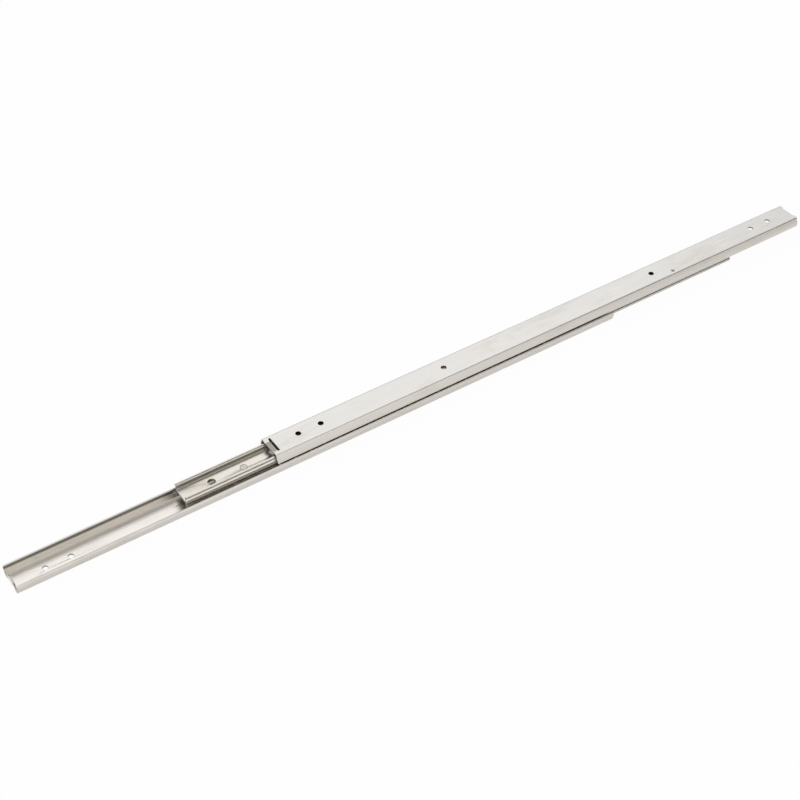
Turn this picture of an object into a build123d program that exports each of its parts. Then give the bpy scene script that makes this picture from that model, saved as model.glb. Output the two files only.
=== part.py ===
from build123d import *
import os
from math import cos, radians, sin, sqrt

# Ball bearing slide of the over-and-under kind, for drawers and trays.
# Two rolled rails face each other. A middle member runs between them: two narrow channels
# riveted back to back. A cage with two rows of balls rolls in each of the two gaps.
# All sizes are in millimetres. X runs along the slide in the way it opens, Z points up,
# and the origin is the centre of the cabinet rail's mounting face.

# The rails, which fasten to the cabinet and to the drawer
rail_length = 550.0
slide_height = 20.6
rail_sheet = 1.2
rail_corner = 1.0
flange_lean = 20.0
lip_wrap = 50.0

# Screw holes in both rails, measured from each end
screw_hole = 4.6
screw_stations = [26.5, 47.0, 164.5]

# Balls and the races that hold them
ball_radius = 2.0
ball_side = 9.9
ball_height = 7.0
race_clearance = 0.06

# The middle member's two channels
middle_length = 550.0
middle_sheet = 1.0
middle_corner = 0.9
middle_shoulder = 120.0
groove_wrap = 75.0
tip_bend = 0.9
tip_length = 1.0

# Holes and rivets of the middle member, measured from its ends
access_hole = 6.5
access_station = 26.5
rivet_station = 54.4
rivet_count = 5
rivet_shank = 3.0
rivet_clearance = 0.02
rivet_head = 6.0
rivet_head_top = 4.6
rivet_head_height = 0.8
rivet_sides = 12

# Ball cages
balls_per_row = 20
ball_pitch = 13.5
cage_end = 3.25
cage_sheet = 0.5
cage_bend = 0.6
cage_floor_gap = 0.5
cage_grip = 1.5
pocket_clearance = 0.08
pocket_sides = 8

# The pressed strap at one end of a rail stops the cage when the slide is fully open
strap_width = 4.0
strap_span = 16.0
strap_ramp = 2.5
strap_lift = 1.0
slot_width = 1.8
stop_gap = 0.5

# The turned-up tab at the other end keeps the cage in
tab_width = 14.0
tab_height = 7.0
tab_corner = 6.5
tab_root = 1.0
corner_limit = 0.48

# The dimple pressed into a rail's web stops the cage when the slide is shut.
# It lies near one edge of the web, and its station is measured from the tab's end.
dimple_station = 146.0
dimple_side = 7.5
dimple_radius = 1.6
dimple_depth = 1.3
dimple_gap = 0.25

# How far out the members stand as modelled
middle_out = 138.5
drawer_out = 215.7

rail_half = rail_length / 2
mid_height = slide_height / 2
race_radius = ball_radius + race_clearance
cage_length = (balls_per_row - 1) * ball_pitch + 2 * cage_end
bump_radius = (dimple_depth + rail_sheet) / 2
shut_start = dimple_station + bump_radius + dimple_gap
stage_travel = 2 * (rail_length - strap_width - stop_gap - cage_length - shut_start)


def chain(start, heading, moves, offset):
    # One face of a bent sheet, at a distance to the left of its middle line.
    # A move is a straight (length, 0) or a bend (middle radius, angle).
    point = Vector(*start) + heading.rotate(Axis.Z, 90) * offset
    edges = []
    for size, turn in moves:
        if turn:
            radius = size - offset if turn > 0 else size + offset
            edges.append(JernArc(point, heading, radius, turn))
        else:
            edges.append(Line(point, point + heading * size))
        point = edges[-1] @ 1
        heading = edges[-1] % 1
    return edges


def strip(start, heading, moves, sheet):
    # The section of a strip of sheet that follows a run of moves
    left = chain(start, heading, moves, sheet / 2)
    right = chain(start, heading, moves, -sheet / 2)
    ends = [Line(left[0] @ 0, right[0] @ 0), Line(left[-1] @ 1, right[-1] @ 1)]
    return make_face(left + right + ends)


def bent_sheet(height, moves, sheet):
    # A symmetric section of bent sheet, drawn with Y across and Z up
    half = strip((0, height), Vector(1, 0), moves, sheet)
    return half + mirror(half, about=Plane.YZ)


def rail_section():
    # Web, corner, leaning flange, and the race that curls over the ball
    race = race_radius + rail_sheet / 2
    corner_height = rail_sheet / 2 + rail_corner
    lean = radians(flange_lean)
    race_foot = ball_height - race * sin(lean)
    corner_top = corner_height - rail_corner * sin(lean)
    slope = (race_foot - corner_top) / cos(lean)
    web = ball_side + (race - rail_corner) * cos(lean) - slope * sin(lean)
    moves = [(web, 0), (rail_corner, 90 - flange_lean), (slope, 0), (race, flange_lean + lip_wrap)]
    return bent_sheet(rail_sheet / 2, moves, rail_sheet)


def middle_section():
    # Web, tight shoulder, outward facing ball groove, and a straight tip
    groove = race_radius + middle_sheet / 2
    web_height = mid_height - middle_sheet / 2
    shoulder = radians(middle_shoulder)
    entry = radians(270 - middle_shoulder)
    drop = web_height - middle_corner + middle_corner * cos(shoulder)
    slope = (drop - ball_height - groove * sin(entry)) / sin(shoulder)
    web = ball_side + groove * cos(entry) - slope * cos(shoulder) - middle_corner * sin(shoulder)
    turn_back = middle_shoulder - groove_wrap - 90
    moves = [(web, 0), (middle_corner, -middle_shoulder), (slope, 0)]
    moves += [(groove, groove_wrap), (tip_bend, turn_back), (tip_length, 0)]
    return bent_sheet(web_height, moves, middle_sheet)


def faceted(radius):
    # A ball with 26 flat facets, whose corners lie on the true sphere
    side = 2 * radius / sqrt(1 + 2 * (sqrt(2) - 1) ** 2)
    return chamfer(Box(side, side, side).edges(), side / (2 + sqrt(2)))


def along(section, length, start):
    # A section run along the slide from a given place
    return extrude(Plane.YZ.offset(start) * section, length)


def upright(radius, height, x, z):
    # An upright round tool centred on the slide's middle line
    return Pos(x, 0, z) * Cylinder(radius, height)


def rail_strap():
    # The end strap, lanced free of the web and pressed inward
    outer = strap_span / 2
    inner = outer - strap_ramp
    under = [(-outer, 0), (-inner, strap_lift), (inner, strap_lift), (outer, 0)]
    over = [(y, z + rail_sheet) for y, z in reversed(under)]
    return along(make_face(Polyline(under + over, close=True)), strap_width, rail_half - strap_width)


def rail_tab():
    # The half-round tab that bends up from the web's other end
    bend = rail_corner + rail_sheet / 2
    moves = [(tab_root, 0), (rail_corner, -90), (tab_height - bend, 0)]
    profile = strip((bend + tab_root - rail_half, rail_sheet / 2), Vector(-1, 0), moves, rail_sheet)
    folded = extrude(Plane.XZ.offset(-tab_width / 2) * profile, tab_width)
    flat = Pos(0, tab_height / 2) * Rectangle(tab_width, tab_height)
    roundest = corner_limit * min(tab_width, 2 * tab_height)
    rounded = fillet(flat.vertices().group_by(Axis.Y)[-1], min(tab_corner, roundest))
    return folded & along(rounded, bend + tab_root, -rail_half)


def rail_dimple():
    # The dent pressed into the web from outside, and the bump that it raises on the inside
    station = dimple_station - rail_half
    bump = Pos(station, -dimple_side, bump_radius) * faceted(bump_radius)
    dent = Pos(station, -dimple_side, dimple_depth - dimple_radius) * faceted(dimple_radius)
    return bump, dent


def rail():
    # One rail as it lies on the cabinet side, with its tab at the closed end
    body = along(rail_section(), rail_length, -rail_half)
    lance = strap_width + slot_width
    body -= Pos(rail_half - lance / 2, 0, rail_sheet / 2) * Box(lance, strap_span, rail_sheet)
    body += rail_strap()
    bend = rail_corner + rail_sheet / 2 + tab_root
    body -= Pos(bend / 2 - rail_half, 0, rail_sheet / 2) * Box(bend, tab_width, rail_sheet)
    body += rail_tab()
    for station in screw_stations:
        for x in (station - rail_half, rail_half - station):
            body -= upright(screw_hole / 2, rail_sheet, x, rail_sheet / 2)
    bump, dent = rail_dimple()
    return body + bump - dent


def rivet_places():
    # Even steps between the two end rivets
    step = (middle_length - 2 * rivet_station) / (rivet_count - 1)
    first = rivet_station - middle_length / 2
    return [first + step * i for i in range(rivet_count)]


def middle_channel():
    # The lower half of the middle member, centred on its own length
    body = along(middle_section(), middle_length, -middle_length / 2)
    web_height = mid_height - middle_sheet / 2
    for x in (access_station - middle_length / 2, middle_length / 2 - access_station):
        body -= upright(access_hole / 2, middle_sheet, x, web_height)
    for x in rivet_places():
        body -= upright(rivet_shank / 2, middle_sheet, x, web_height)
    return body


def rivet():
    # One rivet about its own middle, with a low faceted head on each side
    base = Pos(0, 0, middle_sheet) * RegularPolygon(rivet_head / 2, rivet_sides)
    crown = Pos(0, 0, middle_sheet + rivet_head_height) * RegularPolygon(rivet_head_top / 2, rivet_sides)
    head = loft([base, crown], ruled=True)
    shank = Cylinder(rivet_shank / 2 - rivet_clearance, 2 * middle_sheet)
    return shank + head + mirror(head, about=Plane.XY)


def ball_places():
    # Where the balls sit along a cage, from its end
    return [cage_end + ball_pitch * i for i in range(balls_per_row)]


def cage():
    # The lower cage from its own end: a floor, two walls, and a row of open pockets in each wall
    floor_height = rail_sheet + cage_floor_gap + cage_sheet / 2
    wall = ball_height + cage_grip - floor_height - cage_bend
    moves = [(ball_side - cage_bend, 0), (cage_bend, 90), (wall, 0)]
    body = along(bent_sheet(floor_height, moves, cage_sheet), cage_length, 0)
    pocket = RegularPolygon(ball_radius + pocket_clearance, pocket_sides, major_radius=False)
    width = 2 * (ball_side + cage_sheet)
    punch = extrude(Plane.XZ.offset(-width / 2) * Rot(0, 0, 180 / pocket_sides) * pocket, width)
    return body - [Pos(x, 0, ball_height) * punch for x in ball_places()]


def ball_pair(x):
    # The two balls that face each other at one place along a cage
    ball = faceted(ball_radius)
    return Compound(children=[Pos(x, side * ball_side, ball_height) * ball for side in (-1, 1)])


def turned(shape):
    # The same shape for the upper stage, turned end for end about the slide's cross axis
    return Pos(0, 0, mid_height) * Rot(0, 180, 0) * Pos(0, 0, -mid_height) * shape


def save(shape, node):
    export_step(shape, "parts/" + node + ".step")


def save_members():
    # Rails and the riveted middle member
    low_rail = rail()
    save(low_rail, "cabinet_rail")
    save(Pos(drawer_out, 0, 0) * turned(low_rail), "drawer_rail")
    low_middle = middle_channel()
    save(Pos(middle_out, 0, 0) * low_middle, "middle_channel_lower")
    save(Pos(middle_out, 0, 0) * turned(low_middle), "middle_channel_upper")
    rivets = [Pos(middle_out + x, 0, mid_height) * rivet() for x in rivet_places()]
    save(Compound(children=rivets), "middle_rivets")


def save_cages():
    # A cage rolls half as far as the two members that it runs between move past each other
    shut = Pos(shut_start - rail_half, 0, 0)
    low = Pos(middle_out / 2, 0, 0)
    high = Pos((middle_out + drawer_out) / 2, 0, 0)
    save(low * shut * cage(), "lower_cage")
    save(high * turned(shut * cage()), "upper_cage")
    for number, x in enumerate(ball_places(), 1):
        pair = shut * ball_pair(x)
        save(low * pair, f"lower_balls_{number:02d}")
        save(high * turned(pair), f"upper_balls_{number:02d}")


os.makedirs("parts", exist_ok=True)
save_members()
save_cages()
print("cage length", cage_length, "travel of each stage", stage_travel, "shut cage starts", shut_start)
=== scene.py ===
import math
import bmesh
import bpy
from mathutils import Matrix, Vector


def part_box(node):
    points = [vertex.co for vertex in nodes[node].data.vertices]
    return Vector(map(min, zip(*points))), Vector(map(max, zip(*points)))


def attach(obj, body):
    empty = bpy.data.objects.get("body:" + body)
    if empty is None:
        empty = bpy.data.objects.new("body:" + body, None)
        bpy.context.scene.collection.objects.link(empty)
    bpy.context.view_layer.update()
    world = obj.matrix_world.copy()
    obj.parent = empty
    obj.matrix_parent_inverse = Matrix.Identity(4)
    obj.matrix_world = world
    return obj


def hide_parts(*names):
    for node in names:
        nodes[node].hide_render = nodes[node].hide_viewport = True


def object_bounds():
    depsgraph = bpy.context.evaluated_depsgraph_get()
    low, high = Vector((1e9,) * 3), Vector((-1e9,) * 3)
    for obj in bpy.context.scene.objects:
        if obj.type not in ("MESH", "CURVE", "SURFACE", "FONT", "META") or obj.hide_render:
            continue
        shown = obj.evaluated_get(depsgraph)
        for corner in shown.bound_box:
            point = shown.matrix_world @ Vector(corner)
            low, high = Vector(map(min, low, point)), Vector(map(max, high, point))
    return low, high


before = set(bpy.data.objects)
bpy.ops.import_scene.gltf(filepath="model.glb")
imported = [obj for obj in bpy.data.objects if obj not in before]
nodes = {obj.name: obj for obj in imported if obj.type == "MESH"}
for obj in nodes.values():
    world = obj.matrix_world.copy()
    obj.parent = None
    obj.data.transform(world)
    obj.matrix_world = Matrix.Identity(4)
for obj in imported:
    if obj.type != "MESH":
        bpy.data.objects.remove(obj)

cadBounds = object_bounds()
mm = 0.001
scene = bpy.context.scene
print("frame loaded with", len(nodes), "nodes")


# The camera stands where the photograph was taken from
cameraSet = {
    "place": (-0.4631, -0.7734, 0.8574),
    "azimuth": 55.804,
    "elevation": -42.291,
    "lens": 70.67,
    "sensor": 36.0,
}


def makeCamera(c):
    azimuth = math.radians(c["azimuth"])
    elevation = math.radians(c["elevation"])
    level = math.cos(elevation)
    ahead = Vector((level * math.cos(azimuth), level * math.sin(azimuth), math.sin(elevation)))
    data = bpy.data.cameras.new("studioCamera")
    data.lens = c["lens"]
    data.sensor_fit = "HORIZONTAL"
    data.sensor_width = c["sensor"]
    data.clip_start = 0.01
    camera = bpy.data.objects.new("studioCamera", data)
    camera.location = c["place"]
    camera.rotation_euler = ahead.to_track_quat("-Z", "Y").to_euler()
    scene.collection.objects.link(camera)
    scene.camera = camera


makeCamera(cameraSet)
scene.view_settings.view_transform = "Standard"
print("camera placed")


# Shader maths: a wire is a socket that takes part in sums
class Wire:
    def __init__(self, tree, socket):
        self.tree = tree
        self.socket = socket

    def sum(self, operation, first, second):
        node = self.tree.nodes.new("ShaderNodeMath")
        node.operation = operation
        for socket, value in zip(node.inputs, (first, second)):
            if isinstance(value, Wire):
                self.tree.links.new(value.socket, socket)
            else:
                socket.default_value = value
        return Wire(self.tree, node.outputs[0])

    def __add__(self, other):
        return self.sum("ADD", self, other)

    def __radd__(self, other):
        return self.sum("ADD", other, self)

    def __sub__(self, other):
        return self.sum("SUBTRACT", self, other)

    def __rsub__(self, other):
        return self.sum("SUBTRACT", other, self)

    def __mul__(self, other):
        return self.sum("MULTIPLY", self, other)

    def __rmul__(self, other):
        return self.sum("MULTIPLY", other, self)

    def __abs__(self):
        return self.sum("ABSOLUTE", self, 0)


class Finish:
    # One material or world and its nodes
    def __init__(self, tree):
        self.tree = tree
        tree.nodes.clear()

    def node(self, kind, settings=None, sockets=None, out=0):
        made = self.tree.nodes.new(kind)
        for key, value in (settings or {}).items():
            if key == "stops":
                self.setStops(made.color_ramp, value)
            else:
                setattr(made, key, value)
        for key, value in (sockets or {}).items():
            if isinstance(value, Wire):
                self.tree.links.new(value.socket, made.inputs[key])
            else:
                made.inputs[key].default_value = value
        return Wire(self.tree, made.outputs[out]) if made.outputs else made

    def setStops(self, ramp, stops):
        while len(ramp.elements) < len(stops):
            ramp.elements.new(1.0)
        for element, (place, tone) in zip(ramp.elements, stops):
            element.position = place
            element.color = (tone, tone, tone, 1)

    def mixColour(self, factor, first, second, blend="MIX"):
        # The Mix node's colour sockets share their names with others, so they go by number
        settings = {"data_type": "RGBA", "blend_type": blend}
        return self.node("ShaderNodeMix", settings, {0: factor, 6: first, 7: second}, 2)

    def pattern(self, place, p):
        # Noise with its own number of cells per metre along each axis
        stretched = self.node("ShaderNodeVectorMath", {"operation": "MULTIPLY"}, {0: place, 1: p["cells"]})
        sockets = {"Vector": stretched, "Scale": 1.0, "Detail": p["detail"], "Roughness": p["rough"]}
        return self.node("ShaderNodeTexNoise", None, sockets)

    def ramp(self, value, stops):
        return self.node("ShaderNodeValToRGB", {"stops": stops}, {"Fac": value})

    def fade(self, value, full, none):
        # One where the value is at full, falling smoothly to nothing
        span = {"From Min": none, "From Max": full}
        return self.node("ShaderNodeMapRange", {"interpolation_type": "SMOOTHSTEP"}, {"Value": value, **span})

    def part(self, vector, axis):
        return self.node("ShaderNodeSeparateXYZ", None, {0: vector}, axis)


greenLoss = 0.4  # of what a warm colour loses in blue
noiseMiddle = 0.5  # what a noise varies about


def grey(tone, warm=0.0):
    # A neutral colour, warmed by taking out some blue and less green
    return (tone, tone * (1 - greenLoss * warm), tone * (1 - warm), 1)


# Where grease, darker edges, painted light and painted shade lie is given in metres, in the slide's place at
# rest. Side is the distance from the slide's middle plane, and rise the distance from the level midway
# between the two rails' webs.
slideMiddle = 0.0103

# The ball tracks run along both sides of both stages, and hold a film of old grease, whose dark tone is also
# painted shade in the gaps under the lips
trackSet = {
    "side": 0.0099, "rise": 0.0033, "inner": 0.0021, "outer": 0.0024, "tone": 0.14, "warm": 0.20,
    "patchLeast": 0.75, "patchCloud": 0.4,
}
# The faces inside a rail, from the web up to the ball race: painted light brightens them in the lower rail,
# and painted shade darkens them in the upper one
insideLightShadeSet = {
    "webIn": 0.00115, "webOut": 0.0007, "low": 0.0060, "high": 0.0075,
    "foot": 0.00146, "side": 0.01008, "lean": 0.364, "inner": 0.0003, "outer": 0.0009,
    "upperFull": 0.0110, "upperNone": 0.0096, "upperShadeTone": 0.28, "upperShadeWarm": 0.15,
    "paintedLight": 0.92, "paintedLightWarm": 0.11, "paintedLightShare": 0.8,
}
# Cut edges are darker: the ends of the members are bare steel, and the edge of each rail's tab is bare steel
# with painted shade between the tab and the web
cutSet = {
    "end": 0.27498, "near": 0.27488, "tabSide": 0.0069, "tabSideEnd": 0.0072,
    "sheet": 0.2744, "full": 0.00042, "none": 0.00058, "above": 0.0019, "below": 0.0016,
    "wide": 0.0078, "widest": 0.0088, "tone": 0.34, "warm": 0.12, "share": 0.75,
}
# The flanges are warmer than the webs, and the dimples get painted shade
flangeSet = {"full": 0.0118, "none": 0.0102, "warm": 0.06}
dimpleShadeSet = {
    "places": ((-0.129, -0.0075, 0.0), (0.3447, -0.0075, 0.0206)), "full": 0.0012, "none": 0.0018,
    "tone": 0.18, "warm": 0.2, "share": 0.8,
}
# The middle member gets painted shade on the inner walls of both troughs, and all over inside the lower one
troughSet = {
    "near": 0.00295, "far": 0.0026, "wide": 0.0084, "widest": 0.0092, "low": 0.0016, "lowest": 0.0010,
    "high": 0.0049, "highest": 0.0055, "under": 0.0099, "over": 0.0102, "middle": 0.1385,
    "tone": 0.26, "warm": 0.10, "wallShare": 0.8, "wallCloud": 0.6, "underShare": 0.9,
}
# Walls of the screw holes, by how far they lie from the middle of their rail
boreSet = {
    "stations": (0.2485, 0.2280, 0.1105), "upperShift": 0.2157, "full": 0.00236, "none": 0.00252,
    "tone": 0.20, "warm": 0.2, "share": 0.8,
}


def lineMask(f, side, rise, inner, outer):
    # By the distance from the ball tracks: four lines along the slide, one on each side of both stages
    across = side - trackSet["side"]
    above = rise - trackSet["rise"]
    return f.fade(across * across + above * above, inner ** 2, outer ** 2)


def troughShadeMask(f, side, rise):
    wall = lineMask(f, side, rise, troughSet["near"], troughSet["far"])
    above = f.fade(rise, troughSet["low"], troughSet["lowest"])
    below = f.fade(rise, troughSet["high"], troughSet["highest"])
    return wall * above * below * f.fade(side, troughSet["wide"], troughSet["widest"])


def underShadeMask(f, place, side, rise):
    # The inside of the middle member's lower channel, where painted shade goes
    under = f.fade(f.part(place, 2), troughSet["under"], troughSet["over"])
    wall = lineMask(f, side, rise, troughSet["near"], troughSet["far"])
    return under * wall * f.fade(side, troughSet["wide"], troughSet["widest"])


def endMask(f, away):
    return f.fade(away, cutSet["end"], cutSet["near"])


def besideTab(f, side):
    # A tab's outer face lies in the plane of the rail's end, and isn't a cut edge
    return 1 - f.fade(side, cutSet["tabSide"], cutSet["tabSideEnd"])


def tabMask(f, side, height, outward):
    # The edge of a tab's sheet: bare steel, and painted shade between the tab and the web
    edge = f.fade(abs(outward - cutSet["sheet"]), cutSet["full"], cutSet["none"])
    above = f.fade(height, cutSet["above"], cutSet["below"])
    return edge * above * f.fade(side, cutSet["wide"], cutSet["widest"])


def boreMask(f, place, away):
    across = f.part(place, 1) * f.part(place, 1)
    rings = [(away - station) * (away - station) + across for station in boreSet["stations"]]
    return sum(f.fade(ring, boreSet["full"] ** 2, boreSet["none"] ** 2) for ring in rings)


def insideMask(f, side, rise):
    height = slideMiddle - rise
    slant = side - (height - insideLightShadeSet["foot"]) * insideLightShadeSet["lean"] - insideLightShadeSet["side"]
    above = f.fade(height, insideLightShadeSet["webIn"], insideLightShadeSet["webOut"])
    below = f.fade(height, insideLightShadeSet["low"], insideLightShadeSet["high"])
    return above * below * f.fade(slant, insideLightShadeSet["inner"], insideLightShadeSet["outer"])


def railMarksLightAndShade(f, place, side, rise, colour):
    # The colour of a rail: painted light and shade on its insides, painted shade in the dimples, and its
    # flanges, bores and cut edges
    inside = insideMask(f, side, rise)
    upper = f.fade(f.part(place, 2), insideLightShadeSet["upperFull"], insideLightShadeSet["upperNone"])
    # Painted light: the lower rail's inner walls are lightened
    paintedLight = inside * (1 - upper) * insideLightShadeSet["paintedLightShare"]
    colour = f.mixColour(paintedLight, colour, grey(insideLightShadeSet["paintedLight"], insideLightShadeSet["paintedLightWarm"]))
    # Painted shade: the upper rail's inner walls are darkened
    paintedShade = grey(insideLightShadeSet["upperShadeTone"], insideLightShadeSet["upperShadeWarm"])
    colour = f.mixColour(inside * upper, colour, paintedShade, "MULTIPLY")
    flange = f.fade(side, flangeSet["full"], flangeSet["none"]) * (1 - inside)
    colour = f.mixColour(flange, colour, grey(1.0, flangeSet["warm"]), "MULTIPLY")
    # Painted shade in each dimple
    for spot in dimpleShadeSet["places"]:
        away = f.node("ShaderNodeVectorMath", {"operation": "DISTANCE"}, {0: place, 1: spot}, "Value")
        dimpleShade = f.fade(away, dimpleShadeSet["full"], dimpleShadeSet["none"]) * dimpleShadeSet["share"]
        colour = f.mixColour(dimpleShade, colour, grey(dimpleShadeSet["tone"], dimpleShadeSet["warm"]))
    centred = f.part(place, 0) - upper * boreSet["upperShift"]
    away = abs(centred)
    bores = boreMask(f, place, away) * boreSet["share"]
    colour = f.mixColour(bores, colour, grey(boreSet["tone"], boreSet["warm"]))
    outward = centred * (upper * 2 - 1)
    # The ends are bare steel; the tab edges are bare steel with painted shade between each tab and the web
    edges = endMask(f, away) * besideTab(f, side) + tabMask(f, side, slideMiddle - rise, outward)
    return f.mixColour(edges * cutSet["share"], colour, grey(cutSet["tone"], cutSet["warm"]))


def middleShadeAndEdges(f, place, side, rise, clouds, colour):
    # The colour of the middle member: painted shade in its troughs and lower channel, and its cut ends
    # Painted shade: patchy on the trough walls, and inside the lower channel
    patches = troughSet["wallShare"] + (clouds - noiseMiddle) * troughSet["wallCloud"]
    dark = troughShadeMask(f, side, rise) * patches + underShadeMask(f, place, side, rise) * troughSet["underShare"]
    colour = f.mixColour(dark, colour, grey(troughSet["tone"], troughSet["warm"]), "MULTIPLY")
    away = abs(f.part(place, 0) - troughSet["middle"])
    return f.mixColour(endMask(f, away) * cutSet["share"], colour, grey(cutSet["tone"], cutSet["warm"]))


# Rolled and plated sheet steel: fine lines along the rolling way, soft clouds, a few stains and rubbed marks
grainSet = {
    "lines": {"cells": (14, 1500, 1500), "detail": 4.0, "rough": 0.6},
    "clouds": {"cells": (18, 60, 60), "detail": 3.0, "rough": 0.55},
    "flecks": {"cells": (900, 900, 900), "detail": 2.0, "rough": 0.55},
    "scuffs": {"cells": (40, 700, 700), "detail": 2.0, "rough": 0.55},
    "stains": {"cells": (22, 75, 75), "detail": 4.0, "rough": 0.7},
}
wearSet = {
    "stainStops": [(0.5, 0), (0.72, 1)], "stainTone": 0.84, "stainWarm": 0.13, "lineTone": 0.62,
    "rubStops": [(0.60, 0), (0.70, 1)], "rubTone": 1.15, "rubMost": 0.95, "rubWarm": 0.01,
    "cloudRough": 0.16, "lineRough": 0.10, "stainRough": 0.10, "greaseRough": 0.12,
    "lineHeight": 0.7, "fleckHeight": 0.3, "bumpDepth": 0.00002, "metal": 1.0,
}


def sheetSteel(name, s):
    material = bpy.data.materials.new(name + "Steel")
    material.use_nodes = True
    f = Finish(material.node_tree)
    w = wearSet
    place = f.node("ShaderNodeTexCoord", out="Object")
    side = abs(f.part(place, 1))
    rise = abs(f.part(place, 2) - slideMiddle)
    lines, clouds, flecks, scuffs, spots = [f.pattern(place, p) for p in grainSet.values()]
    stains = f.ramp(spots, w["stainStops"])
    marks = f.ramp(scuffs, w["rubStops"])
    pale = grey(s["tone"] + s["cloud"], s["warm"])
    colour = f.mixColour(clouds, grey(s["tone"] - s["cloud"], s["warm"]), pale)
    stained = grey(s["tone"] * w["stainTone"], s["warm"] + w["stainWarm"])
    colour = f.mixColour(stains * s["stain"], colour, stained)
    colour = f.mixColour(lines * s["line"], colour, grey(s["tone"] * w["lineTone"], s["warm"]))
    rubbed = grey(min(s["tone"] * w["rubTone"], w["rubMost"]), w["rubWarm"])
    colour = f.mixColour(marks * s["scuff"], colour, rubbed)
    if name == "rail":
        colour = railMarksLightAndShade(f, place, side, rise, colour)
    if name == "middle":
        colour = middleShadeAndEdges(f, place, side, rise, clouds, colour)
    # Ball tracks: a dark film that is old grease and also painted shade in the gaps under the lips
    track = lineMask(f, side, rise, trackSet["inner"], trackSet["outer"])
    greaseAndShade = track * (trackSet["patchLeast"] + clouds * trackSet["patchCloud"]) * s["greaseAndShade"]
    colour = f.mixColour(greaseAndShade, colour, grey(trackSet["tone"], trackSet["warm"]))
    rough = s["rough"] + (clouds - noiseMiddle) * w["cloudRough"] + (lines - noiseMiddle) * w["lineRough"]
    rough = rough + stains * w["stainRough"] - greaseAndShade * w["greaseRough"]
    height = lines * w["lineHeight"] + flecks * w["fleckHeight"]
    bump = {"Strength": s["bump"], "Distance": w["bumpDepth"], "Height": height}
    normal = f.node("ShaderNodeBump", None, bump)
    surface = f.node("ShaderNodeBsdfPrincipled", None, {
        "Base Color": colour, "Metallic": w["metal"], "Roughness": rough, "Normal": normal,
    })
    f.node("ShaderNodeOutputMaterial", None, {"Surface": surface})
    return material


steelSet = {
    "rail": {"tone": 0.80, "cloud": 0.03, "warm": 0.06, "stain": 0.35, "line": 0.14, "scuff": 0.25,
             "greaseAndShade": 0.85, "rough": 0.32, "bump": 0.25},
    "middle": {"tone": 0.84, "cloud": 0.03, "warm": 0.12, "stain": 0.35, "line": 0.18, "scuff": 0.25,
               "greaseAndShade": 0.0, "rough": 0.30, "bump": 0.25},
    "cage": {"tone": 0.56, "cloud": 0.03, "warm": 0.08, "stain": 0.2, "line": 0.14, "scuff": 0.2,
             "greaseAndShade": 0.8, "rough": 0.38, "bump": 0.2},
    "rivet": {"tone": 0.73, "cloud": 0.04, "warm": 0.15, "stain": 0.3, "line": 0.05, "scuff": 0.2,
              "greaseAndShade": 0.0, "rough": 0.40, "bump": 0.2},
    "ball": {"tone": 0.45, "cloud": 0.02, "warm": 0.06, "stain": 0.1, "line": 0.0, "scuff": 0.1,
             "greaseAndShade": 0.0, "rough": 0.12, "bump": 0.02},
}
steel = {name: sheetSteel(name, values) for name, values in steelSet.items()}
print("finishes made:", ", ".join(steel))


# Mesh tools. All shapes are drawn in millimetres, in their stage's own place, and scaled at the end.
spare = 1.0  # how far a cutting tool reaches past what it cuts


def followMoves(start, heading, moves, stepAngle):
    # Points and left-hand normals of a run of straights (length, 0) and bends (radius, degrees)
    point = Vector(start)
    angle = math.radians(heading)
    run = [(point.copy(), Vector((-math.sin(angle), math.cos(angle))))]
    for size, turn in moves:
        if not turn:
            point = point + Vector((math.cos(angle), math.sin(angle))) * size
            run.append((point.copy(), Vector((-math.sin(angle), math.cos(angle)))))
            continue
        side = 1 if turn > 0 else -1
        left = Vector((-math.sin(angle), math.cos(angle)))
        centre = point + left * size * side
        count = max(2, math.ceil(abs(turn) / stepAngle))
        for i in range(1, count + 1):
            now = angle + math.radians(turn) * i / count
            normal = Vector((-math.sin(now), math.cos(now)))
            run.append((centre - normal * size * side, normal))
        angle += math.radians(turn)
        point = run[-1][0].copy()
    return run


def sheetRun(height, moves, stepAngle):
    # The whole width of a section that is symmetric about the slide's middle line
    right = followMoves((0, height), 0, moves, stepAngle)
    left = [(Vector((-p.x, p.y)), Vector((-n.x, n.y))) for p, n in reversed(right[1:])]
    return left + right


def stripMesh(run, sheet, spans, across):
    # Sheet metal that follows a run. across(u, v, w) places the run's two axes and the span.
    bm = bmesh.new()
    rows = []
    for i, (point, normal) in enumerate(run):
        low, high = spans[i] if isinstance(spans, list) else spans
        row = []
        for w in (low, high):
            for d in (sheet / 2, -sheet / 2):
                q = point + normal * d
                row.append(bm.verts.new(across(q.x, q.y, w)))
        rows.append(row)
    for a, b in zip(rows, rows[1:]):
        for i, j in ((0, 1), (1, 3), (3, 2), (2, 0)):
            bm.faces.new((a[i], a[j], b[j], b[i]))
    for row in (rows[0], rows[-1]):
        bm.faces.new((row[0], row[1], row[3], row[2]))
    bmesh.ops.recalc_face_normals(bm, faces=bm.faces)
    return bm


def toObject(name, bm):
    mesh = bpy.data.meshes.new(name)
    bm.to_mesh(mesh)
    bm.free()
    obj = bpy.data.objects.new(name, mesh)
    scene.collection.objects.link(obj)
    return obj


def applyModifiers(obj):
    bpy.context.view_layer.update()
    seen = obj.evaluated_get(bpy.context.evaluated_depsgraph_get())
    baked = bpy.data.meshes.new_from_object(seen)
    old = obj.data
    obj.modifiers.clear()
    obj.data = baked
    bpy.data.meshes.remove(old)


def combine(obj, tools, operation):
    # Cuts the tools from a piece, or welds them to it
    for tool in tools:
        change = obj.modifiers.new("change", "BOOLEAN")
        change.solver = "EXACT"
        change.operation = operation
        change.object = tool
        applyModifiers(obj)
    for tool in tools:
        bpy.data.objects.remove(tool)


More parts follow.
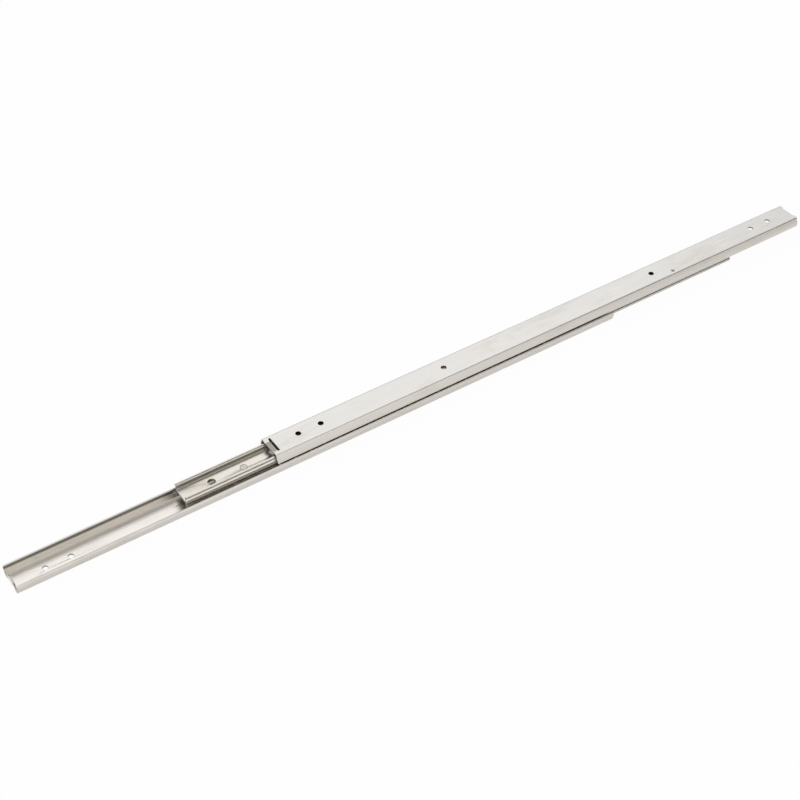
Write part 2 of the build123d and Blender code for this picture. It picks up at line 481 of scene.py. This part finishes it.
def roundTool(radius, place, axis="Z", length=8.0, sides=48):
    bm = bmesh.new()
    bmesh.ops.create_cone(bm, cap_ends=True, segments=sides, radius1=radius, radius2=radius, depth=length)
    turn = Matrix.Rotation(math.radians(90), 4, "X") if axis == "Y" else Matrix.Identity(4)
    bmesh.ops.transform(bm, matrix=Matrix.Translation(place) @ turn, verts=bm.verts)
    return toObject("tool", bm)


def ballTool(radius, place, segments=32, rings=20):
    bm = bmesh.new()
    bmesh.ops.create_uvsphere(bm, u_segments=segments, v_segments=rings, radius=radius)
    bmesh.ops.translate(bm, vec=place, verts=bm.verts)
    return toObject("tool", bm)


def blockTool(low, high):
    bm = bmesh.new()
    bmesh.ops.create_cube(bm, size=1.0)
    size = [h - l for l, h in zip(low, high)]
    middle = [(h + l) / 2 for l, h in zip(low, high)]
    bmesh.ops.transform(bm, matrix=Matrix.Translation(middle) @ Matrix.Diagonal((*size, 1)), verts=bm.verts)
    return toObject("tool", bm)


def softenEdges(obj, width, angle=35, segments=2):
    edge = obj.modifiers.new("edge", "BEVEL")
    edge.width = width
    edge.segments = segments
    edge.limit_method = "ANGLE"
    edge.angle_limit = math.radians(angle)
    edge.miter_outer = "MITER_ARC"
    edge.use_clamp_overlap = True
    applyModifiers(obj)


def finishPiece(obj, matrix, finish, body, replaced, smooth=35):
    obj.data.transform(matrix)
    if matrix.determinant() < 0:
        obj.data.flip_normals()
    obj.data.materials.clear()
    obj.data.materials.append(steel[finish])
    for face in obj.data.polygons:
        face.use_smooth = True
    obj.data.set_sharp_from_angle(angle=math.radians(smooth))
    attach(obj, body)
    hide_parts(*replaced)
    return obj


def copyPiece(obj, name):
    twin = obj.copy()
    twin.data = obj.data.copy()
    twin.name = name
    scene.collection.objects.link(twin)
    return twin


# Where each stage lies. The upper stage is the lower one turned end for end about the slide's cross axis.
slideHeight = cadBounds[1][2] / mm


def stageMatrix(node, upper):
    low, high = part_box(node)
    shift = Matrix.Translation(((low.x + high.x) / 2 / mm, 0, 0))
    turn = Matrix.Identity(4)
    if upper:
        lift = Matrix.Translation((0, 0, slideHeight / 2))
        turn = lift @ Matrix.Rotation(math.pi, 4, "Y") @ lift.inverted()
    return Matrix.Scale(mm, 4) @ shift @ turn


def alongSlide(y, z, x):
    return (x, y, z)


race = {"ballRadius": 2.0, "side": 9.9, "height": 7.0, "clearance": 0.06, "bendStep": 7.5}
raceRadius = race["ballRadius"] + race["clearance"]


# The two rails
railSet = {
    "length": 550.0, "sheet": 1.2, "corner": 1.6, "lean": 20.0, "wrap": 50.0,
    "hole": 2.3, "stations": (26.5, 47.0, 164.5),
    "strapWidth": 4.0, "strapSpan": 16.0, "strapRamp": 2.5, "strapLift": 1.0, "strapBend": 1.6, "slot": 1.8,
    "tabWidth": 14.0, "tabHeight": 7.0, "tabCorner": 6.5, "tabRoot": 1.0, "tabSteps": 14,
    "dimpleStation": 146.0, "dimpleSide": 7.5, "dimpleRadius": 1.6, "dimpleDepth": 1.3,
    "foldCorner": 1.0, "foldStep": 9.0, "strapStep": 6.0, "lipTop": 9.5, "lipRound": 2.6, "lipSteps": 8,
    "weld": 0.3, "edge": 0.14, "cutHigh": 3.0, "cutWide": 20.0,
}


def railRun(r):
    middle = raceRadius + r["sheet"] / 2
    bend = r["corner"] + r["sheet"] / 2
    lean = math.radians(r["lean"])
    foot = race["height"] - middle * math.sin(lean)
    slope = (foot - bend + r["corner"] * math.sin(lean)) / math.cos(lean)
    web = race["side"] + (middle - r["corner"]) * math.cos(lean) - slope * math.sin(lean)
    moves = [(web, 0), (r["corner"], 90 - r["lean"]), (slope, 0), (middle, r["lean"] + r["wrap"])]
    return sheetRun(r["sheet"] / 2, moves, race["bendStep"])


def railStrap(r):
    # Bent inward and back, with its ends let a little way into the web
    half = r["strapSpan"] / 2
    rise = math.hypot(r["strapRamp"], r["strapLift"])
    tilt = math.degrees(math.atan2(r["strapLift"], r["strapRamp"]))
    bend = r["strapBend"]
    short = bend * math.tan(math.radians(tilt) / 2)
    moves = [(half - r["strapRamp"] - short, 0), (bend, -tilt), (rise - 2 * short, 0), (bend, tilt)]
    moves += [(short + r["weld"], 0)]
    run = sheetRun(r["sheet"] / 2 + r["strapLift"], moves, r["strapStep"])
    end = r["length"] / 2
    return toObject("tool", stripMesh(run, r["sheet"], (end - r["strapWidth"], end), alongSlide))


def railTab(r):
    # Bent up from the web's end, and drawn in to a round top
    bend = r["foldCorner"] + r["sheet"] / 2
    root = r["tabRoot"] + r["weld"]
    shoulder = r["tabHeight"] - r["tabCorner"]
    first = math.asin((bend - shoulder) / r["tabCorner"])
    turns = [first + (math.pi / 2 - first) * i / r["tabSteps"] for i in range(r["tabSteps"] + 1)]
    heights = [shoulder + r["tabCorner"] * math.sin(turn) for turn in turns]
    moves = [(root, 0), (r["foldCorner"], -90)] + [(b - a, 0) for a, b in zip(heights, heights[1:])]
    run = followMoves((bend + root - r["length"] / 2, r["sheet"] / 2), 180, moves, r["foldStep"])
    flat = r["tabWidth"] / 2 - r["tabCorner"]
    spans = []
    for point, _ in run:
        above = min(max(point.y - shoulder, 0) / r["tabCorner"], 1)
        half = flat + r["tabCorner"] * math.sqrt(1 - above ** 2)
        spans.append((-half, half))
    return toObject("tool", stripMesh(run, r["sheet"], spans, lambda x, z, y: (x, y, z)))


def lipCorner(r, end):
    # What is rounded off the flanges' upper corners at one end
    corner = r["lipRound"]
    centre = (r["length"] / 2 - corner, r["lipTop"] - corner)
    past, above = centre[0] + corner + spare, r["lipTop"] + spare
    outline = [(past, centre[1]), (past, above), (centre[0], above)]
    for i in range(r["lipSteps"] + 1):
        turn = math.pi / 2 * (1 - i / r["lipSteps"])
        outline.append((centre[0] + corner * math.cos(turn), centre[1] + corner * math.sin(turn)))
    bm = bmesh.new()
    sides = [[bm.verts.new((end * x, y, z)) for x, z in outline] for y in (-r["cutWide"], r["cutWide"])]
    for face in sides:
        bm.faces.new(face)
    for i in range(len(outline)):
        j = (i + 1) % len(outline)
        bm.faces.new((sides[0][i], sides[0][j], sides[1][j], sides[1][i]))
    bmesh.ops.recalc_face_normals(bm, faces=bm.faces)
    return toObject("tool", bm)


def makeRail(r):
    half = r["length"] / 2
    rail = toObject("rail", stripMesh(railRun(r), r["sheet"], (-half, half), alongSlide))
    lance = r["strapWidth"] + r["slot"]
    bend = r["foldCorner"] + r["sheet"] / 2 + r["tabRoot"]
    cuts = [lipCorner(r, end) for end in (-1, 1)]
    strapSide, tabSide = r["strapSpan"] / 2, r["tabWidth"] / 2
    cuts += [
        blockTool((half - lance, -strapSide, -spare), (half + spare, strapSide, r["cutHigh"])),
        blockTool((-half - spare, -tabSide, -spare), (-half + bend, tabSide, r["cutHigh"])),
    ]
    for station in r["stations"]:
        cuts += [roundTool(r["hole"], (x, 0, 0)) for x in (station - half, half - station)]
    combine(rail, cuts, "DIFFERENCE")
    station = r["dimpleStation"] - half
    bump = (r["dimpleDepth"] + r["sheet"]) / 2
    welds = [railStrap(r), railTab(r), ballTool(bump, (station, -r["dimpleSide"], bump))]
    combine(rail, welds, "UNION")
    dent = ballTool(r["dimpleRadius"], (station, -r["dimpleSide"], r["dimpleDepth"] - r["dimpleRadius"]))
    combine(rail, [dent], "DIFFERENCE")
    softenEdges(rail, r["edge"])
    return rail


lowRail = makeRail(railSet)
highRail = copyPiece(lowRail, "drawerRailBody")
lowRail.name = "cabinetRailBody"
finishPiece(lowRail, stageMatrix("cabinet_rail", False), "rail", "cabinet", ["cabinet_rail"])
finishPiece(highRail, stageMatrix("drawer_rail", True), "rail", "drawer", ["drawer_rail"])
print("rails rolled")


# The middle member: two channels back to back
middleSet = {
    "length": 550.0, "sheet": 1.0, "corner": 0.9, "shoulder": 120.0, "grooveWrap": 75.0,
    "tipBend": 0.9, "tipLength": 1.0, "access": 3.25, "accessStation": 26.5,
    "rivetStation": 54.4, "rivetCount": 5, "shank": 1.5, "edge": 0.12,
}


def middleRun(m):
    groove = raceRadius + m["sheet"] / 2
    webHeight = slideHeight / 2 - m["sheet"] / 2
    shoulder = math.radians(m["shoulder"])
    entry = math.radians(270 - m["shoulder"])
    drop = webHeight - m["corner"] + m["corner"] * math.cos(shoulder)
    slope = (drop - race["height"] - groove * math.sin(entry)) / math.sin(shoulder)
    web = race["side"] + groove * math.cos(entry) - slope * math.cos(shoulder)
    web = web - m["corner"] * math.sin(shoulder)
    moves = [(web, 0), (m["corner"], -m["shoulder"]), (slope, 0), (groove, m["grooveWrap"])]
    moves += [(m["tipBend"], m["shoulder"] - m["grooveWrap"] - 90), (m["tipLength"], 0)]
    return sheetRun(webHeight, moves, race["bendStep"])


def rivetPlaces(m):
    step = (m["length"] - 2 * m["rivetStation"]) / (m["rivetCount"] - 1)
    return [m["rivetStation"] - m["length"] / 2 + step * i for i in range(m["rivetCount"])]


def makeMiddle(m):
    half = m["length"] / 2
    channel = toObject("channel", stripMesh(middleRun(m), m["sheet"], (-half, half), alongSlide))
    webHeight = slideHeight / 2
    access = half - m["accessStation"]
    cuts = [roundTool(m["access"], (x, 0, webHeight)) for x in (-access, access)]
    cuts += [roundTool(m["shank"], (x, 0, webHeight)) for x in rivetPlaces(m)]
    combine(channel, cuts, "DIFFERENCE")
    softenEdges(channel, m["edge"])
    return channel


lowChannel = makeMiddle(middleSet)
highChannel = copyPiece(lowChannel, "middleChannelUpperBody")
lowChannel.name = "middleChannelLowerBody"
finishPiece(lowChannel, stageMatrix("middle_channel_lower", False), "middle", "middle",
            ["middle_channel_lower"])
finishPiece(highChannel, stageMatrix("middle_channel_upper", True), "middle", "middle",
            ["middle_channel_upper"])
print("middle member riveted")


# Rivets: a shank and two pressed heads, turned from one outline
rivetSet = {
    "shank": 1.48, "foot": 1.0, "head": 3.0, "crown": 2.3, "height": 0.8, "rim": 0.1, "round": 0.9,
    "roundSteps": 6, "dimple": 0.9, "dimpleSlope": 0.25, "dimpleDepth": 0.25, "dimpleLip": 0.01,
    "sides": 40, "smooth": 50,
}


def makeRivet(r):
    top = r["foot"] + r["height"]
    rim = r["foot"] + r["rim"]
    half = [(r["shank"], 0), (r["shank"], r["foot"]), (r["head"] - r["rim"], r["foot"]), (r["head"], rim)]
    for i in range(1, r["roundSteps"] + 1):
        turn = i / r["roundSteps"] * math.pi / 2
        reach = r["crown"] - r["round"] + (r["head"] - r["crown"] + r["round"]) * math.cos(turn)
        half.append((reach, rim + (r["height"] - r["rim"]) * math.sin(turn)))
    half += [(r["dimple"], top - r["dimpleLip"]), (r["dimple"] - r["dimpleSlope"], top - r["dimpleDepth"])]
    outline = [(x, -z) for x, z in reversed(half)][:-1] + half
    bm = bmesh.new()
    rings = []
    for x, z in outline:
        ring = []
        for i in range(r["sides"]):
            turn = 2 * math.pi * i / r["sides"]
            ring.append(bm.verts.new((x * math.cos(turn), x * math.sin(turn), z)))
        rings.append(ring)
    for a, b in zip(rings, rings[1:]):
        for i in range(r["sides"]):
            j = (i + 1) % r["sides"]
            bm.faces.new((a[i], a[j], b[j], b[i]))
    bm.faces.new(rings[0])
    bm.faces.new(rings[-1])
    bmesh.ops.recalc_face_normals(bm, faces=bm.faces)
    return bm


def makeRivets():
    low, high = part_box("middle_channel_lower")
    middle = (low.x + high.x) / 2 / mm
    joined = bmesh.new()
    for x in rivetPlaces(middleSet):
        one = makeRivet(rivetSet)
        bmesh.ops.translate(one, vec=(middle + x, 0, slideHeight / 2), verts=one.verts)
        mesh = bpy.data.meshes.new("one")
        one.to_mesh(mesh)
        one.free()
        joined.from_mesh(mesh)
        bpy.data.meshes.remove(mesh)
    obj = toObject("middleRivetHeads", joined)
    finishPiece(obj, Matrix.Scale(mm, 4), "rivet", "middle", ["middle_rivets"],
                rivetSet["smooth"])


makeRivets()
print("rivets set")


# Cages: a floor, two walls, and a row of open pockets in each wall
cageSet = {
    "balls": 20, "pitch": 13.5, "end": 3.25, "sheet": 0.5, "bend": 0.6, "floorGap": 0.5, "grip": 1.5,
    "pocket": 2.08, "pocketReach": 30.0, "pocketSides": 32, "edge": 0.07,
}


def cageStations(c):
    return [c["end"] + c["pitch"] * i - cageLength(c) / 2 for i in range(c["balls"])]


def cageLength(c):
    return (c["balls"] - 1) * c["pitch"] + 2 * c["end"]


def makeCage(c):
    floor = railSet["sheet"] + c["floorGap"] + c["sheet"] / 2
    wall = race["height"] + c["grip"] - floor - c["bend"]
    run = sheetRun(floor, [(race["side"] - c["bend"], 0), (c["bend"], 90), (wall, 0)], race["bendStep"])
    half = cageLength(c) / 2
    cage = toObject("cage", stripMesh(run, c["sheet"], (-half, half), alongSlide))
    cuts = [roundTool(c["pocket"], (x, 0, race["height"]), "Y", c["pocketReach"], c["pocketSides"])
            for x in cageStations(c)]
    combine(cage, cuts, "DIFFERENCE")
    softenEdges(cage, c["edge"])
    return cage


lowCage = makeCage(cageSet)
highCage = copyPiece(lowCage, "upperCageBody")
lowCage.name = "lowerCageBody"
finishPiece(lowCage, stageMatrix("lower_cage", False), "cage", "lower_cage", ["lower_cage"])
finishPiece(highCage, stageMatrix("upper_cage", True), "cage", "upper_cage", ["upper_cage"])
print("cages pressed")


# Balls: one piece for each pair of balls that face each other across a cage
ballSet = {"segments": 28, "rings": 18}


def makeBallPair(b):
    bm = bmesh.new()
    shape = {"u_segments": b["segments"], "v_segments": b["rings"], "radius": race["ballRadius"]}
    for side in (-1, 1):
        place = Matrix.Translation((0, side * race["side"], race["height"]))
        bmesh.ops.create_uvsphere(bm, matrix=place, **shape)
    return toObject("ballPair", bm)


def placeBalls():
    pattern = makeBallPair(ballSet)
    for stage, upper in (("lower", False), ("upper", True)):
        for number in range(1, cageSet["balls"] + 1):
            node = f"{stage}_balls_{number:02d}"
            pair = copyPiece(pattern, f"{stage}BallPair{number:02d}")
            finishPiece(pair, stageMatrix(node, upper), "ball", stage + "_cage", [node])
    bpy.data.objects.remove(pattern)


placeBalls()
print("balls seated")


# Floor, world and lamps. The room is pale all round, with darker parts that the bends and flanges mirror.
studioSet = {
    "floor": 6.0, "drop": 0.0003, "floorTone": 0.8, "whiteShare": 0.97, "mirrorShare": 0.52,
    "worldTone": 0.87, "darkWarm": 0.1,
}
# Which way each darker part lies, and the angles at which it is full and gone
roomSet = {
    "near": {"way": (0.34, -0.55, 0.77), "full": 10, "end": 26, "tone": 0.30},
    "right": {"way": (0.79, -0.57, 0.24), "full": 18, "end": 34, "tone": 0.08},
    "back": {"way": (0.44, 0.90, 0.07), "full": 14, "end": 30, "tone": 0.20},
}


def makeFloor(s):
    bm = bmesh.new()
    bmesh.ops.create_grid(bm, x_segments=1, y_segments=1, size=s["floor"])
    bmesh.ops.translate(bm, vec=(0, 0, -s["drop"]), verts=bm.verts)
    floor = toObject("studioFloor", bm)
    material = bpy.data.materials.new("paperFloor")
    material.use_nodes = True
    f = Finish(material.node_tree)
    camera = f.node("ShaderNodeLightPath", out="Is Camera Ray")
    mirror = f.node("ShaderNodeLightPath", out="Is Glossy Ray")
    through = f.node("ShaderNodeLightPath", out="Is Transmission Ray")
    seen = camera * s["whiteShare"] + (mirror + through) * s["mirrorShare"]
    paper = f.node("ShaderNodeBsdfDiffuse", None, {"Color": grey(s["floorTone"])})
    white = f.node("ShaderNodeEmission", None, {"Color": grey(1.0), "Strength": 1.0})
    mixed = f.node("ShaderNodeMixShader", None, {0: seen, 1: paper, 2: white})
    f.node("ShaderNodeOutputMaterial", None, {"Surface": mixed})
    floor.data.materials.append(material)


def makeWorld(s):
    world = bpy.data.worlds.new("studioWorld")
    world.use_nodes = True
    scene.world = world
    f = Finish(world.node_tree)
    way = f.node("ShaderNodeTexCoord", out="Generated")
    room = grey(s["worldTone"])
    for part in roomSet.values():
        ways = {0: way, 1: Vector(part["way"]).normalized()}
        facing = f.node("ShaderNodeVectorMath", {"operation": "DOT_PRODUCT"}, ways, "Value")
        dark = f.fade(facing, math.cos(math.radians(part["full"])), math.cos(math.radians(part["end"])))
        room = f.mixColour(dark, room, grey(part["tone"], s["darkWarm"]))
    camera = f.node("ShaderNodeLightPath", out="Is Camera Ray")
    seen = f.mixColour(camera, room, grey(1.0))
    tone = f.node("ShaderNodeBackground", None, {"Color": seen, "Strength": 1.0})
    f.node("ShaderNodeOutputWorld", None, {"Surface": tone})


lampSet = {
    "overhead": {"place": (0.6, 1.3, 1.6), "aim": (0.1, 0, 0), "size": 2.2, "power": 3.4},
    "side": {"place": (0.60, -1.90, 0.48), "aim": (0.1, 0, 0), "size": 1.6, "power": 2.2},
}


def makeLamp(name, lamp):
    data = bpy.data.lights.new(name, "AREA")
    data.shape = "SQUARE"
    data.size = lamp["size"]
    data.energy = lamp["power"]
    obj = bpy.data.objects.new(name, data)
    obj.location = lamp["place"]
    obj.rotation_euler = (Vector(lamp["aim"]) - Vector(lamp["place"])).to_track_quat("-Z", "Y").to_euler()
    scene.collection.objects.link(obj)


makeFloor(studioSet)
makeWorld(studioSet)
for name, lamp in lampSet.items():
    makeLamp(name + "Lamp", lamp)
print("studio lit")
